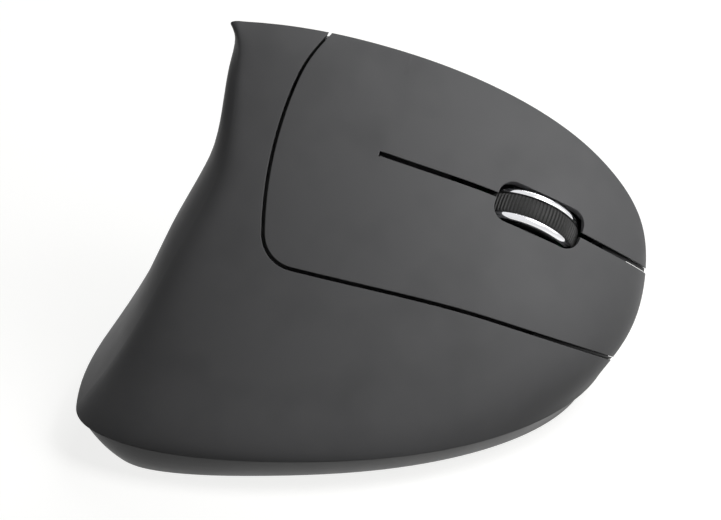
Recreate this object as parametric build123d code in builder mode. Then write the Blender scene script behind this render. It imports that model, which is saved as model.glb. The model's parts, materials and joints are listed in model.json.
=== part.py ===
from build123d import *
from math import cos, pi, sin
import os

os.makedirs("parts", exist_ok=True)

# Wireless vertical mouse for the right hand, millimetres.
# +X is the finger side, +Y the front, +Z up; z = 0 is the desk under the glide feet.

# ---- driving dimensions ----
FOOT_HEIGHT = 0.8          # glide feet lift the base off the desk
SEAM_Z = 8.0               # level of the seam between upper shells and base
CROWN_Z = 76.0             # top of the rear corner of the ridge
FINGER_WALL = 2.8          # shell wall of the sloping finger side, measured level
THUMB_WALL = 2.2           # shell wall of the steep thumb side
SEAM_FIT = 0.1             # fit between the two upper shells
PLATE_DEPTH = -13.0        # how far the plate's edge reaches round the nose, on the key plane
KEY_GAP = 0.8              # seam round the key plate
EDGE_ROOM = 1.3            # room beyond the plate's edge at the nose, more than a key moves there
SLOT_WIDTH = 1.0           # slot between the two keys
HINGE_GAP = 0.2            # break in the plate where each key flexes
KEY_RELIEF = 1.6           # level clearance under the key plate
FLOOR_WALL = 1.6           # inner floor that carries the key plate

WHEEL_R = 11.0
WHEEL_RISE = 2.3           # how far the wheel stands out of the key plate
TYRE_WIDTH = 4.4
RING_WIDTH = 1.3
POCKET = (19.6, 9.2, 3.3)  # wheel opening: length, width, corner radius
KEY_SINK = 0.25            # half of a key's travel beside the wheel
WHEEL_CLEAR = (11.4, 3.9)  # room round the wheel under the keys: radius, half width
WHEEL_SPOT = (1.4, 37.1, 44.2)
WHEEL_RUN = (0.08, 0.90, -0.43)
WHEEL_NORMAL = (0.67, 0.26, 0.70)

HUB_R = 9.3
RING_GAP = 0.1             # dark line between tyre and ring
RING_STEP = 0.15           # rings stand this much lower than the tyre
AXLE_R = 1.5
AXLE_FIT = 0.05
ARM_GAP = 0.9              # between the hub and each arm of its cradle
ARM_T = 1.3

AAA_D = 10.5
AAA_L = 44.5
AAA_TIP = 0.9
CELL_PITCH = 11.2          # between the two cells
CELL_Z = 7.8               # level of the cells' axes
CONTACT_T = 0.4
SPRING_WIRE = 0.6
BAY_X = 6.0                # middle of the battery bay
BAY_Y = (-38.0, 13.0)      # ends of the battery bay
BAY_W = 23.0
BAY_TOP = 13.4             # ceiling of the bay
BAY_WALL = 1.2
DOOR_T = 1.4
DOOR_LAP = 2.0             # the door laps the bay's opening all round
DOOR_GAP = 0.2
DOOR_CORNER = 2.0
PIN_R = 0.35               # pins at the door's front corners
PIN_FIT = 0.07
PIN_L = 2.6

FLOOR_T = 2.0              # floor of the base
BASE_WALL = 2.0
BOSS_BOTTOM = 8.2          # the upper shells' bosses start here
CASE_SCREW_R = 1.0
CASE_HEAD_R = 2.1
HEAD_Z = 4.2               # seat of the case screw heads
BOARD_SCREW_R = 0.9
BOARD_Z = 5.2              # underside of the main board
MAIN_T = 1.2
SENSOR = (-3.0, 25.0)
SENSOR_WINDOW = (9.0, 6.4)
MAIN_POSTS = [(-8.5, 36.0), (11.5, 21.5)]
SWITCH_AT = (8.5, 29.0)    # power switch
SWITCH_TRAVEL = 3.0
KNOB = (3.6, 3.8, 1.0)     # slider plate: across, along, thick
KNOB_Z = 1.0
STEM = (1.6, 2.0, 2.2)
WELL = (-22.0, 4.0)        # middle of the receiver's well
CAP = (5.8, 14.2)          # receiver's cap
CAP_Z = 1.0
CAP_TOP = 6.9
CAP_GAP = 0.2
PLUG = (4.5, 12.0)         # receiver's metal shell
PLUG_TOP = 19.4
PLUG_WALL = 0.35
FEET = [(15, -44.4, 15, 4.2), (-1.5, 38.5, 13, 4.6), (-22, -27, 4.8, 12), (26, 0, 4.8, 14)]
FOOT_CORNER = 2.0
FOOT_SEAT = 0.2

SAMPLES = 5                # points on each quarter of a level section

# Each station is one level section of the body: height, then its tail, right, front
# and left extreme points, then the fullness of its rear-right, front and rear-left quarters.
FINGER_SIDE = [
    (8.0, (18.6, -59.7), (39.4, -14), (-14, 54.4), (-66, 0), 2.08, 2.2, 1.9),
    (11.0, (17.6, -57.0), (38.4, -14), (-14, 56.3), (-66, 0), 2.1, 2.24, 1.95),
    (17.0, (15.3, -52.0), (33.5, -9), (-12, 59.3), (-66, 0), 2.1, 2.34, 2.05),
    (27.4, (10.5, -44.7), (24.0, -1), (-12, 61.3), (-66, 0), 1.95, 2.26, 2.2),
    (38.0, (4.5, -38.0), (13.6, 3), (-16, 61.1), (-66, 0), 1.9, 2.0, 2.3),
    (50.0, (-3.6, -30.3), (1.8, 0), (-25, 58.0), (-66, 0), 2.0, 2.0, 2.4),
    (60.0, (-10.5, -27.1), (-8.5, -8), (-30, 50.6), (-66, 0), 2.0, 2.0, 2.15),
    (68.0, (-17, -26.2), (-15.3, -14), (-36, 32), (-66, 0), 2.0, 2.0, 2.0),
    (74.0, (-23.3, -26.0), (-22.8, -20), (-38, 12), (-66, -2), 2.0, 2.0, 2.0),
    (78.0, (-27.5, -26), (-27, -23.5), (-42, -6), (-66, -8), 2.0, 2.0, 2.0),
]
CORE_TOP = (72.0, (-21.2, -26.1), (-20.3, -18), (-37.3, 18.7), (-66, -1.3), 2.0, 2.0, 2.0)
FINGER_CORE = FINGER_SIDE[:8] + [CORE_TOP]          # the hollow stops short of the ridge's corner
THUMB_SIDE = [
    (8.0, (15, -80), (70, -8), (15, 62.5), (-38, -8), 2.0, 1.8, 2.0),
    (14.0, (15, -80), (70, -8), (15, 65), (-34.5, -8), 2.0, 1.8, 2.0),
    (28.0, (18, -80), (70, -8), (18, 75), (-29, -8), 2.0, 1.8, 2.0),
    (36.4, (18, -80), (70, -8), (18, 77), (-29.5, -8), 2.0, 1.8, 2.0),
    (50.6, (17, -80), (70, -10), (17, 70.5), (-31, -10), 2.0, 1.8, 2.0),
    (63.6, (16, -80), (70, -12), (16, 53.5), (-31, -12), 2.0, 1.8, 2.0),
    (70.8, (15, -80), (70, -15), (15, 35), (-28.5, -15), 2.0, 1.8, 2.0),
    (74.5, (14, -80), (70, -22), (14, 26), (-26.4, -22), 2.0, 1.8, 2.0),
    (80.0, (12, -80), (70, -26), (12, 16), (-20, -26), 2.0, 1.8, 2.0),
]
BASE_RIGHT = [
    (0.8, (22, -51.4), (33.8, -21.0), (-12, 49.6), (-66, 0), 2.7, 2.18, 1.8),
    (4.4, (20.6, -55.4), (37.2, -16.5), (-13, 50.8), (-66, 0), 2.45, 2.2, 1.85),
    (7.8, (18.8, -58.7), (39.0, -14), (-14, 54.1), (-66, 0), 2.15, 2.2, 1.89),
]
BASE_LEFT = [
    (0.8, (15, -80), (70, -8), (15, 55), (-33.5, -8), 2.0, 1.8, 2.0),
    (4.4, (15, -80), (70, -8), (15, 58.5), (-35.8, -8), 2.0, 1.8, 2.0),
    (7.8, (15, -80), (70, -8), (15, 62.1), (-37.6, -8), 2.0, 1.8, 2.0),
]


def quarter(start, end, centre, fullness):
    """Points from one extreme of a section towards the next, the last one left out."""
    points = []
    for k in range(SAMPLES):
        turn = 0.5 * pi * k / SAMPLES
        near = cos(turn) ** (2 / fullness)
        far = sin(turn) ** (2 / fullness)
        points.append(
            (
                centre[0] + (start[0] - centre[0]) * near + (end[0] - centre[0]) * far,
                centre[1] + (start[1] - centre[1]) * near + (end[1] - centre[1]) * far,
            )
        )
    return points


def section(tail, right, front, left, rear_right, front_full, rear_left, inset):
    """Closed ring of points of one level section, drawn in by inset."""
    right = (right[0] - inset, right[1])
    tail = (min(tail[0], right[0] - 0.8), tail[1] + inset)
    front = (front[0], front[1] - inset)
    left = (left[0] + inset, left[1])
    points = quarter(tail, right, (tail[0], right[1]), rear_right)
    points += quarter(right, front, (front[0], right[1]), front_full)
    points += quarter(front, left, (front[0], left[1]), front_full)
    points += quarter(left, tail, (tail[0], left[1]), rear_left)
    return points


def form(stations, inset=0.0):
    """Smooth body through level sections."""
    with BuildPart() as body:
        for height, *shape in stations:
            with BuildSketch(Plane.XY.offset(height)):
                with BuildLine():
                    Spline(*section(*shape, inset), periodic=True)
                make_face()
        loft()
    return body.part


def prism(plane, sketch, low, high):
    """Solid of a sketch carried along the normal of its plane, from low to high."""
    with BuildPart() as body:
        with BuildSketch(plane.offset(low)):
            add(sketch)
        extrude(amount=high - low)
    return body.part


# ---- shared forms ----
# Key plane: seen square on it shows the key plate's outline; x runs forward, y up the face.
key_plane = Plane(origin=(0, 0, 35), x_dir=(0, 1, 0), z_dir=(cos(pi / 6), 0, sin(pi / 6)))
wheel_plane = Plane(origin=WHEEL_SPOT, x_dir=WHEEL_RUN, z_dir=WHEEL_NORMAL)
axle_plane = Plane(
    origin=wheel_plane.offset(WHEEL_RISE - WHEEL_R).origin,
    x_dir=wheel_plane.x_dir,
    z_dir=wheel_plane.y_dir,
)

REAR_SEAM = [
    (-2.0, 53),
    (-6.9, 45.3),
    (-10.7, 40.6),
    (-14.4, 33.5),
    (-16.8, 26.7),
    (-18.7, 19.3),
    (-20.0, 10.8),
    (-20.4, 3.4),
]
LOW_SEAM = [(-14.8, -3.9), (7.9, -9.3), (21.4, -12.8), (35.3, -17.2), (49.8, -21.9), (64, -26.6)]
SLOT_PATH = [(3.8, 20.1), (16.3, 15.8), (28.7, 11.3), (46.2, 2.9), (59, -3.7), (72, -10.4)]
LEFT_HINGE = (12.6, 46.6)      # where the left key's hinge line passes beyond the ridge
RIGHT_HINGE = (-7.0, -12.4)    # where the right key's hinge line passes beyond the seam
STAKES = [(-12, 24), (-13.5, 8), (-8, 2), (-2, 32)]
STAKE_R = 2.2


def key_outline(grow):
    """Outline of the key plate on the key plane, grown all round by grow."""
    rear_points = [(x - grow * 0.97, y) for x, y in REAR_SEAM]
    low_points = [(x - 0.1 * grow, y - grow) for x, y in LOW_SEAM]
    with BuildSketch() as outline:
        with BuildLine():
            rear = Spline(*rear_points)
            corner = TangentArc(rear @ 1, low_points[0], tangent=(0, -1))
            low = Spline(*low_points)
            Polyline(low @ 1, (75, low_points[-1][1]), (75, REAR_SEAM[0][1]), rear @ 0)
        make_face()
    return outline.sketch


with BuildSketch() as slot_band:
    with BuildLine():
        Spline(*SLOT_PATH)
    trace(line_width=SLOT_WIDTH)

plate_prism = prism(key_plane, key_outline(-KEY_GAP / 2), PLATE_DEPTH, 70)
opening_prism = prism(key_plane, key_outline(KEY_GAP / 2), PLATE_DEPTH - EDGE_ROOM, 70)
floor_prism = prism(key_plane, key_outline(KEY_GAP / 2 + 1.6), -45, 70)
frame_prism = prism(key_plane, key_outline(KEY_GAP / 2 + 2.0), -45, 70)

finger = form(FINGER_SIDE)
finger_inner = form(FINGER_CORE, FINGER_WALL)
finger_seam = form(FINGER_CORE, FINGER_WALL + SEAM_FIT)
floor_top = form(FINGER_CORE, FINGER_WALL + KEY_RELIEF)
floor_under = form(FINGER_SIDE[:8], FINGER_WALL + KEY_RELIEF + FLOOR_WALL)
thumb = form(THUMB_SIDE)
thumb_inner = form(THUMB_SIDE, THUMB_WALL)
thumb_clear = form(THUMB_SIDE, THUMB_WALL + 0.25)

with BuildPart() as body:
    add(finger)
    add(thumb, mode=Mode.INTERSECT)
    with BuildSketch(Plane.XY.offset(CROWN_Z)):
        Rectangle(200, 200)
    extrude(amount=10, mode=Mode.SUBTRACT)

with BuildPart() as wall:
    add(body.part)
    add(finger_inner, mode=Mode.SUBTRACT)

# Places of the fixings.
PALM_BOSSES = [(24, -34), (19, 18)]
THUMB_BOSSES = [(-27.5, -8), (-16, 28)]
CASE_SCREWS = PALM_BOSSES + THUMB_BOSSES
BOSS_R = 2.6
BOARD_POSTS = [(-19.3, 6.5), (-19, -11), (12.5, -11)]   # on the key board, wheel frame
BOARD_TOP = -12.0
BOARD_T = 1.2
SWITCH_SPOTS = [(-6, 9.3), (-6, -9.5)]                  # buttons of the two micro switches
MICRO_TOP = 5.4
PLUNGER_END = -5.4
PLUNGER_R = 1.3

# ---- palm shell: finger side, rear and the floor under the keys ----
with BuildPart() as pocket:
    add(opening_prism)
    add(floor_top, mode=Mode.SUBTRACT)
with BuildPart() as key_floor:
    add(frame_prism)
    add(thumb_clear, mode=Mode.INTERSECT)
    add(form(FINGER_CORE, 1.0), mode=Mode.INTERSECT)
    add(pocket.part, mode=Mode.SUBTRACT)
    add(floor_under, mode=Mode.SUBTRACT)
with BuildPart() as posts:
    with BuildSketch(wheel_plane.offset(BOARD_TOP)):
        with Locations(*BOARD_POSTS):
            Circle(2.1)
    extrude(amount=14)
    add(floor_top, mode=Mode.INTERSECT)
    add(thumb_clear, mode=Mode.INTERSECT)
with BuildPart() as rear_column:
    with BuildSketch(Plane.XY.offset(BOSS_BOTTOM)):
        with Locations(PALM_BOSSES[0]):
            Circle(BOSS_R)
    extrude(amount=20)
    add(form(FINGER_CORE, 0.8), mode=Mode.INTERSECT)
with BuildPart() as front_column:
    with BuildSketch(Plane.XY.offset(BOSS_BOTTOM)):
        with Locations(PALM_BOSSES[1]):
            Circle(BOSS_R)
    extrude(amount=22)
    add(floor_top, mode=Mode.INTERSECT)
with BuildPart() as palm_shell:
    add(wall.part)
    add(opening_prism, mode=Mode.SUBTRACT)
    add(key_floor.part)
    add(posts.part)
    add(rear_column.part)
    add(front_column.part)
    # windows in the floor: wheel and the two switch plungers
    with BuildSketch(wheel_plane.offset(-9)):
        with Locations((-3.0, 0)):
            RectangleRounded(33.0, 12.4, 3.5)
        with Locations(*SWITCH_SPOTS):
            Circle(2.3)
    extrude(amount=12, mode=Mode.SUBTRACT)
    # pilot holes
    with BuildSketch(Plane.XY.offset(BOSS_BOTTOM)):
        with Locations(*PALM_BOSSES):
            Circle(1.0)
    extrude(amount=7, mode=Mode.SUBTRACT)
    with BuildSketch(wheel_plane.offset(BOARD_TOP)):
        with Locations(*BOARD_POSTS):
            Circle(0.9)
    extrude(amount=5, mode=Mode.SUBTRACT)
palm_shell.part.label = "palm_shell"
export_step(palm_shell.part, "parts/palm_shell.step")

# ---- thumb shell: steep side under the ridge, with two side button openings ----
thumb_plane = Plane(origin=(-28.4, 9, 54), x_dir=(0.2, 0.98, 0), z_dir=(-0.98, 0.2, 0.06))
SIDE_BUTTONS = [(-10.0, 0.8, -3), (9.6, -1.4, -9)]  # place and tilt of back and forward
SIDE_SIZE = (17.5, 7.4, 3.2)
SIDE_FIT = 0.25
SIDE_PROUD = 0.9           # how far the side buttons stand out of the thumb shell
SIDE_INNER = 3.3
THUMB_BOARD_Z = -7.0
THUMB_BOARD_T = 0.8
THUMB_POSTS = [(-22.0, 0.5), (22.0, -0.5)]
THUMB_PILOT = 3.5          # depth of the pilot holes, which stop short of the outer face


def side_outline(place, grow):
    """Rounded outline of one side button, grown or shrunk all round."""
    with BuildSketch() as outline:
        with Locations(Location((place[0], place[1], 0), (0, 0, place[2]))):
            RectangleRounded(
                SIDE_SIZE[0] + 2 * grow,
                SIDE_SIZE[1] + 2 * grow,
                SIDE_SIZE[2] + grow,
            )
    return outline.sketch


with BuildPart() as thumb_shell:
    add(body.part)
    add(finger_seam, mode=Mode.INTERSECT)
    add(thumb_inner, mode=Mode.SUBTRACT)
    with BuildPart(mode=Mode.PRIVATE) as relief:
        add(floor_prism)
        add(floor_top, mode=Mode.SUBTRACT)
    add(relief.part, mode=Mode.SUBTRACT)
    with BuildPart(mode=Mode.PRIVATE) as thumb_bosses:
        with BuildSketch(Plane.XY.offset(BOSS_BOTTOM)):
            with Locations(*THUMB_BOSSES):
                Circle(BOSS_R)
            # webs that tie the bosses to the wall
            for x, y in THUMB_BOSSES:
                with Locations((x - 3.5, y)):
                    Rectangle(8, 1.6)
        extrude(amount=15)
        add(body.part, mode=Mode.INTERSECT)
    add(thumb_bosses.part)
    with BuildPart(mode=Mode.PRIVATE) as thumb_posts:
        with BuildSketch(thumb_plane.offset(THUMB_BOARD_Z)):
            with Locations(*THUMB_POSTS):
                Circle(1.9)
        extrude(amount=14)
        add(form(THUMB_SIDE, 1.0), mode=Mode.INTERSECT)
    add(thumb_posts.part)
    for place in SIDE_BUTTONS:
        add(prism(thumb_plane, side_outline(place, SIDE_FIT), -6, 8), mode=Mode.SUBTRACT)
    with BuildSketch(Plane.XY.offset(BOSS_BOTTOM)):
        with Locations(*THUMB_BOSSES):
            Circle(1.0)
    extrude(amount=7, mode=Mode.SUBTRACT)
    with BuildSketch(thumb_plane.offset(THUMB_BOARD_Z)):
        with Locations(*THUMB_POSTS):
            Circle(0.8)
    extrude(amount=THUMB_PILOT, mode=Mode.SUBTRACT)
thumb_shell.part.label = "thumb_shell"
export_step(thumb_shell.part, "parts/thumb_shell.step")

# ---- key plate: one skin with the wheel's pocket ----
with BuildPart() as plate:
    add(wall.part)
    add(plate_prism, mode=Mode.INTERSECT)
    add(prism(key_plane, slot_band.sketch, -40, 60), mode=Mode.SUBTRACT)
    with BuildSketch(wheel_plane.offset(-9)):
        RectangleRounded(*POCKET)
    extrude(amount=14, mode=Mode.SUBTRACT)
    # room for the wheel's rim while a key is down
    with BuildSketch(axle_plane):
        with Locations((0, -KEY_SINK)):
            Circle(WHEEL_CLEAR[0])
    extrude(amount=WHEEL_CLEAR[1], both=True, mode=Mode.SUBTRACT)


# ---- keys: two flexing parts of the plate, and the bridge behind their hinge lines ----
def hinge_area(far, side):
    """Area of the key plane in front of one hinge line, on one side of the slot."""
    with BuildSketch() as area:
        with BuildLine():
            slot = Spline(*SLOT_PATH)
            Polyline(slot @ 1, (95, SLOT_PATH[-1][1]), (95, side), far, slot @ 0)
        make_face()
    return area.sketch


left_area = hinge_area(LEFT_HINGE, 60)
right_area = hinge_area(RIGHT_HINGE, -40)
with BuildSketch() as hinge_lines:
    with BuildLine():
        Polyline(LEFT_HINGE, SLOT_PATH[0], RIGHT_HINGE)
    trace(line_width=HINGE_GAP)
hinge_cut = prism(key_plane, hinge_lines.sketch, -40, 60)


def key(area, spot):
    """One key of the plate, with the round rib that reaches down to its micro switch."""
    with BuildPart() as rib:
        with BuildSketch(wheel_plane.offset(PLUNGER_END)):
            with Locations(spot):
                Circle(PLUNGER_R)
        extrude(amount=6)
        add(form(FINGER_CORE, 1.0), mode=Mode.INTERSECT)
    with BuildPart() as body:
        add(plate.part)
        add(prism(key_plane, area, -40, 60), mode=Mode.INTERSECT)
        add(hinge_cut, mode=Mode.SUBTRACT)
        add(rib.part)
    return body.part


with BuildPart() as left_button:
    add(key(left_area, SWITCH_SPOTS[0]))
left_button.part.label = "left_button"
export_step(left_button.part, "parts/left_button.step")

with BuildPart() as right_button:
    add(key(right_area, SWITCH_SPOTS[1]))
right_button.part.label = "right_button"
export_step(right_button.part, "parts/right_button.step")

with BuildPart() as key_bridge:
    add(plate.part)
    add(prism(key_plane, left_area, -40, 60), mode=Mode.SUBTRACT)
    add(prism(key_plane, right_area, -40, 60), mode=Mode.SUBTRACT)
    add(hinge_cut, mode=Mode.SUBTRACT)
    # stakes that stand on the inner floor
    with BuildPart(mode=Mode.PRIVATE) as stakes:
        with BuildSketch(key_plane.offset(-40)):
            with Locations(*STAKES):
                Circle(STAKE_R)
        extrude(amount=100)
        add(form(FINGER_CORE, 1.0), mode=Mode.INTERSECT)
        add(floor_top, mode=Mode.SUBTRACT)
    add(stakes.part)
key_bridge.part.label = "key_bridge"
export_step(key_bridge.part, "parts/key_bridge.step")

# ---- base tray with battery bay, bosses, sensor window and receiver well ----
base_right = form(BASE_RIGHT)
base_left = form(BASE_LEFT)
BAY_MIDDLE = (BAY_X, (BAY_Y[0] + BAY_Y[1]) / 2)
BAY_LENGTH = BAY_Y[1] - BAY_Y[0]
FLOOR_TOP = FOOT_HEIGHT + FLOOR_T
SKIN_Z = FOOT_HEIGHT + 0.8                           # level inside the floor where its ribs start
DOOR_W = BAY_W + 2 * DOOR_LAP
DOOR_FRONT = BAY_Y[1] + DOOR_LAP
DOOR_REAR = BAY_Y[0] - DOOR_LAP
HINGE_Y = DOOR_FRONT - DOOR_T / 2                    # the door's front edge is round about its pins
HINGE_Z = FOOT_HEIGHT + DOOR_T / 2


def door_outline(grow):
    """Outline of the battery door with round rear corners, grown by grow."""
    with BuildSketch() as outline:
        with Locations((BAY_X, (DOOR_FRONT + DOOR_REAR) / 2)):
            Rectangle(DOOR_W + 2 * grow, DOOR_FRONT - DOOR_REAR + 2 * grow)
        fillet(outline.vertices().group_by(Axis.Y)[0], radius=DOOR_CORNER + grow)
    return outline.sketch


with BuildPart() as base_tray:
    add(base_right)
    add(base_left, mode=Mode.INTERSECT)
    with BuildPart(mode=Mode.PRIVATE) as base_hollow:
        add(form(BASE_RIGHT, BASE_WALL))
        add(form(BASE_LEFT, BASE_WALL), mode=Mode.INTERSECT)
        with BuildSketch(Plane.XY):
            Rectangle(200, 200)
        extrude(amount=FLOOR_TOP, mode=Mode.SUBTRACT)
    add(base_hollow.part, mode=Mode.SUBTRACT)
    # battery bay box
    with BuildSketch(Plane.XY.offset(SKIN_Z)):
        with Locations(BAY_MIDDLE):
            Rectangle(BAY_W + 2 * BAY_WALL, BAY_LENGTH + 2 * BAY_WALL)
    extrude(amount=BAY_TOP + BAY_WALL - SKIN_Z)
    # bosses, board posts and the receiver's well
    with BuildSketch(Plane.XY.offset(SKIN_Z)):
        with Locations(*CASE_SCREWS):
            Circle(3.4)
    extrude(amount=BOSS_BOTTOM - SEAM_FIT - SKIN_Z)
    with BuildSketch(Plane.XY.offset(SKIN_Z)):
        with Locations(*MAIN_POSTS):
            Circle(2.0)
    extrude(amount=BOARD_Z - SKIN_Z)
    with BuildSketch(Plane.XY.offset(SKIN_Z)):
        with Locations(WELL):
            RectangleRounded(CAP[0] + 2.4, CAP[1] + 2.4, 1.5)
    extrude(amount=CAP_TOP + 1.5 - SKIN_Z)
    with BuildSketch(Plane.XY.offset(CAP_TOP + 1.0)):
        with Locations(WELL):
            Rectangle(PLUG[0] + 2.5, PLUG[1] + 2.6)
    extrude(amount=PLUG_TOP + 1.5 - CAP_TOP - 1.0)
    # hollow of the bay, open below
    with BuildSketch(Plane.XY):
        with Locations(BAY_MIDDLE):
            Rectangle(BAY_W, BAY_LENGTH)
    extrude(amount=BAY_TOP, mode=Mode.SUBTRACT)
    # recess of the door and the two pins that it turns on
    add(prism(Plane.XY, door_outline(DOOR_GAP), 0, FOOT_HEIGHT + DOOR_T + 0.1), mode=Mode.SUBTRACT)
    for side in (-1, 1):
        with Locations((BAY_X + side * (DOOR_W / 2 + DOOR_GAP + 0.4 - PIN_L / 2), HINGE_Y, HINGE_Z)):
            Cylinder(PIN_R, PIN_L + 0.8, rotation=(0, 90, 0))
    # receiver slot: wide below for the cap, narrow above for the plug
    with BuildSketch(Plane.XY):
        with Locations(WELL):
            RectangleRounded(CAP[0] + 2 * CAP_GAP, CAP[1] + 2 * CAP_GAP, 1.2)
    extrude(amount=CAP_TOP + 0.4, mode=Mode.SUBTRACT)
    with BuildSketch(Plane.XY):
        with Locations(WELL):
            Rectangle(PLUG[0] + 0.3, PLUG[1] + 0.3)
    extrude(amount=PLUG_TOP + 0.4, mode=Mode.SUBTRACT)
    # sensor window
    with BuildSketch(Plane.XY):
        with Locations(SENSOR):
            SlotOverall(*SENSOR_WINDOW)
    extrude(amount=4, mode=Mode.SUBTRACT)
    # recess and slot of the power switch
    with BuildSketch(Plane.XY):
        with Locations(SWITCH_AT):
            RectangleRounded(KNOB[0] + 1.0, KNOB[1] + SWITCH_TRAVEL + 1.2, 1.0)
    extrude(amount=KNOB_Z + KNOB[2] + 0.2, mode=Mode.SUBTRACT)
    with BuildSketch(Plane.XY):
        with Locations(SWITCH_AT):
            Rectangle(STEM[0] + 0.4, STEM[1] + SWITCH_TRAVEL + 0.4)
    extrude(amount=4, mode=Mode.SUBTRACT)
    # shallow seats for the glide feet
    for x, y, across, along in FEET:
        with BuildSketch(Plane.XY):
            with Locations((x, y)):
                RectangleRounded(across + 0.4, along + 0.4, FOOT_CORNER + 0.2)
        extrude(amount=FOOT_HEIGHT + FOOT_SEAT, mode=Mode.SUBTRACT)
    # screw holes, counterbored from below, and pilot holes for the board screws
    with BuildSketch(Plane.XY):
        with Locations(*CASE_SCREWS):
            Circle(CASE_HEAD_R + 0.3)
    extrude(amount=HEAD_Z, mode=Mode.SUBTRACT)
    with BuildSketch(Plane.XY):
        with Locations(*CASE_SCREWS):
            Circle(CASE_SCREW_R + 0.2)
    extrude(amount=12, mode=Mode.SUBTRACT)
    with BuildSketch(Plane.XY.offset(SKIN_Z + 0.6)):
        with Locations(*MAIN_POSTS):
            Circle(BOARD_SCREW_R)
    extrude(amount=6, mode=Mode.SUBTRACT)
base_tray.part.label = "base_tray"
export_step(base_tray.part, "parts/base_tray.step")

# ---- battery door, hinged on two pins at its round front edge ----
with BuildPart() as battery_door:
    add(prism(Plane.XY, door_outline(0), FOOT_HEIGHT, FOOT_HEIGHT + DOOR_T))
    with Locations((BAY_X, DOOR_FRONT, HINGE_Z)):
        Box(DOOR_W, DOOR_T, DOOR_T, mode=Mode.SUBTRACT)
    with Locations((BAY_X, HINGE_Y, HINGE_Z)):
        Cylinder(DOOR_T / 2, DOOR_W, rotation=(0, 90, 0))
    for side in (-1, 1):
        with Locations((BAY_X + side * (DOOR_W / 2 - PIN_L / 2), HINGE_Y, HINGE_Z)):
            Cylinder(PIN_R + PIN_FIT, PIN_L + 0.4, rotation=(0, 90, 0), mode=Mode.SUBTRACT)
    # finger groove at the rear
    with BuildSketch(Plane.XY.offset(FOOT_HEIGHT)):
        with Locations((BAY_X, DOOR_REAR + 5)):
            SlotOverall(12, 3)
    extrude(amount=0.5, mode=Mode.SUBTRACT)
battery_door.part.label = "battery_door"
export_step(battery_door.part, "parts/battery_door.step")

# ---- batteries and their contacts ----
CELL_X = (BAY_X - CELL_PITCH / 2, BAY_X + CELL_PITCH / 2)
CELL_BODY = AAA_L - AAA_TIP
FRONT_FACE = BAY_Y[1] - CONTACT_T
REAR_FACE = BAY_Y[0] + CONTACT_T
SPRING_ROOM = BAY_LENGTH - 2 * CONTACT_T - AAA_L


def cell(x, tip_y, towards):
    """One AAA cell lying along Y; its button points towards +1 or -1."""
    with BuildPart() as battery:
        with Locations((x, tip_y - towards * (AAA_TIP + CELL_BODY / 2), CELL_Z)):
            Cylinder(AAA_D / 2, CELL_BODY, rotation=(90, 0, 0))
        with Locations((x, tip_y - towards * (AAA_TIP + 0.05), CELL_Z)):
            Cylinder(1.9, 2 * AAA_TIP + 0.1, rotation=(90, 0, 0))
    return battery.part


def coil(x, start_y, length):
    """Contact spring lying along Y."""
    with BuildPart() as spring:
        with BuildLine():
            turns = Helix(1.35, length, 3.0, center=(x, start_y, CELL_Z), direction=(0, 1, 0))
        with BuildSketch(Plane(origin=turns @ 0, z_dir=turns % 0)):
            Circle(SPRING_WIRE / 2)
        sweep()
    return spring.part


with BuildPart() as battery_1:
    add(cell(CELL_X[0], FRONT_FACE, 1))
battery_1.part.label = "battery_1"
export_step(battery_1.part, "parts/battery_1.step")

with BuildPart() as battery_2:
    add(cell(CELL_X[1], REAR_FACE, -1))
battery_2.part.label = "battery_2"
export_step(battery_2.part, "parts/battery_2.step")

with BuildPart() as battery_springs:
    add(coil(CELL_X[0], REAR_FACE + SPRING_WIRE, SPRING_ROOM - 2 * SPRING_WIRE))
    add(coil(CELL_X[1], FRONT_FACE - SPRING_ROOM + SPRING_WIRE, SPRING_ROOM - 2 * SPRING_WIRE))
battery_springs.part.label = "battery_springs"
export_step(battery_springs.part, "parts/battery_springs.step")

with BuildPart() as rear_contact:
    with Locations((BAY_X, BAY_Y[0] + CONTACT_T / 2, CELL_Z)):
        Box(CELL_PITCH + 8.8, CONTACT_T, 9)
rear_contact.part.label = "rear_contact"
export_step(rear_contact.part, "parts/rear_contact.step")

with BuildPart() as front_contacts:
    with Locations(*[(x, BAY_Y[1] - CONTACT_T / 2, CELL_Z) for x in CELL_X]):
        Box(8.6, CONTACT_T, 9)
front_contacts.part.label = "front_contacts"
export_step(front_contacts.part, "parts/front_contacts.step")


# ---- glide feet ----
def pad(place):
    """Low-friction pad set in its shallow seat."""
    x, y, across, along = place
    with BuildPart() as foot:
        with BuildSketch(Plane.XY):
            with Locations((x, y)):
                RectangleRounded(across, along, FOOT_CORNER)
        extrude(amount=FOOT_HEIGHT + FOOT_SEAT)
    return foot.part


with BuildPart() as rear_foot:
    add(pad(FEET[0]))
rear_foot.part.label = "rear_foot"
export_step(rear_foot.part, "parts/rear_foot.step")

with BuildPart() as front_foot:
    add(pad(FEET[1]))
front_foot.part.label = "front_foot"
export_step(front_foot.part, "parts/front_foot.step")

with BuildPart() as left_foot:
    add(pad(FEET[2]))
left_foot.part.label = "left_foot"
export_step(left_foot.part, "parts/left_foot.step")

with BuildPart() as right_foot:
    add(pad(FEET[3]))
right_foot.part.label = "right_foot"
export_step(right_foot.part, "parts/right_foot.step")

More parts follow.
